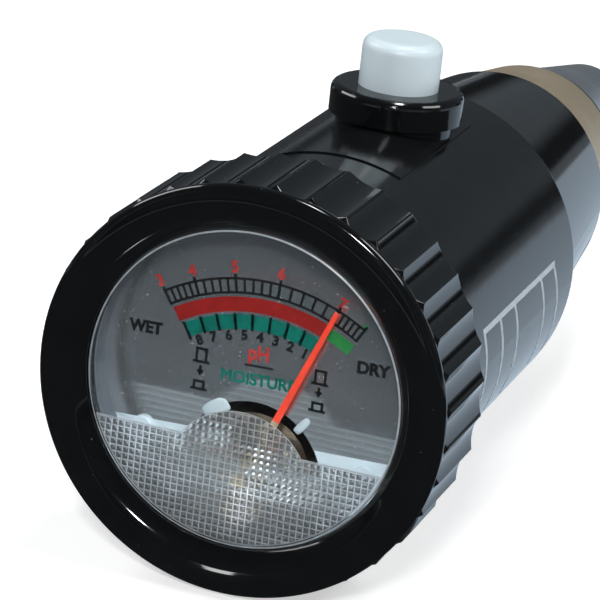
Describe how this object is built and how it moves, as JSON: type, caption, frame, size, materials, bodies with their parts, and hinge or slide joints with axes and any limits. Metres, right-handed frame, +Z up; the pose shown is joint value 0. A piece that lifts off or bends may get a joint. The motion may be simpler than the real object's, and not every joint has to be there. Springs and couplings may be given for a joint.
{
  "type": "soil meter",
  "caption": "Hand-held soil pH and moisture meter: round dial under a fluted screw ring, push button on a round barrel, stepped conical metal probe.",
  "frame": {"origin": "on the floor under the middle of the length, below the meter's axis", "axes": "+Y along the meter's axis from the dial to the probe's point, +Z up through the push button, +X to the right of someone who reads the dial"},
  "size_m": [0.0506, 0.165, 0.0576],
  "materials": {
    "gloss_black": "polished black moulding",
    "matte_black": "black moulding",
    "clear": "clear moulding",
    "seal_rubber": "black rubber",
    "pale_plastic": "pale grey moulding",
    "white_plastic": "glossy white moulding",
    "dial_satin": "satin",
    "red_paint": "bright red paint",
    "steel": "bright steel",
    "brass": "bright brass",
    "ring_brass": "turned, slightly dulled",
    "copper": "copper wire",
    "iron": "dark oiled iron",
    "tip_metal": "turned grey metal",
    "board_green": "printed board",
    "trimmer_blue": "blue moulding",
    "resistor_tan": "lacquered",
    "lead_red": "insulated wire",
    "lead_blue": "insulated wire"
  },
  "bodies": {
    "case": {"dial_spacer": "pale_plastic", "dial_plate": "dial_satin", "dial_screws": "steel", "meter_frame": "matte_black", "frame_screws": "steel", "meter_terminals": "brass", "yoke_ring": "iron", "magnet_core": "iron", "front_bridge": "dial_satin", "bridge_screws": "steel", "front_jewel": "brass", "rear_jewel": "brass", "barrel": "gloss_black", "button_collar": "gloss_black", "collar_nut": "steel", "spring_seat": "pale_plastic", "circuit_board": "board_green", "board_screws": "steel", "switch_body": "matte_black", "switch_pins": "brass", "trimmer_body": "trimmer_blue", "resistors": "resistor_tan", "meter_leads": "lead_red", "probe_leads": "lead_blue", "probe_sleeve": "gloss_black", "sleeve_seal": "seal_rubber", "ring_electrode": "ring_brass", "ring_screws": "steel", "ring_tag": "brass", "insulator_bush": "matte_black", "tip_electrode": "tip_metal", "clamp_stud": "steel", "clamp_nut": "steel", "tip_tag": "brass"},
    "lens_pack": {"lens": "clear", "lens_seal": "seal_rubber"},
    "screw_ring": {"bezel_ring": "gloss_black"},
    "needle": {"moving_coil": "copper", "pivot_pins": "steel", "pointer": "red_paint", "front_hairspring": "copper", "rear_hairspring": "copper"},
    "button": {"button_cap": "white_plastic", "button_stem": "pale_plastic", "switch_plunger": "pale_plastic", "button_spring": "steel"},
    "trimmer": {"trimmer_screw": "brass"}
  },
  "joints": [
    {"name": "button_press", "type": "slide", "parent": "case", "child": "button", "axis": [0, 0, -1], "range_m": [0, 0.0025], "stiffness_N_per_m": 600, "springref_m": -0.002, "deforming": ["button_spring"]},
    {"name": "needle_swing", "type": "hinge", "parent": "case", "child": "needle", "pos_m": [0, -0.0741, 0.01331], "axis": [0, 1, 0], "range_deg": [-57, 11], "stiffness_Nm_per_rad": 0.00005},
    {"name": "bezel_lift", "type": "slide", "parent": "case", "child": "lens_pack", "axis": [0, -1, 0], "range_m": [0, 0.00451]},
    {"name": "bezel_turn", "type": "hinge", "parent": "lens_pack", "child": "screw_ring", "pos_m": [0, -0.0745, 0.02531], "axis": [0, -1, 0], "range_deg": [0, 1080]},
    {"name": "trimmer_turn", "type": "hinge", "parent": "case", "child": "trimmer", "pos_m": [0.008, -0.0315, 0.03631], "axis": [0, 0, 1], "range_deg": [-135, 135]}
  ],
  "couplings": [
    {"joint": "bezel_lift", "follows": "bezel_turn", "m_per_rad": 0.00023873}
  ]
}
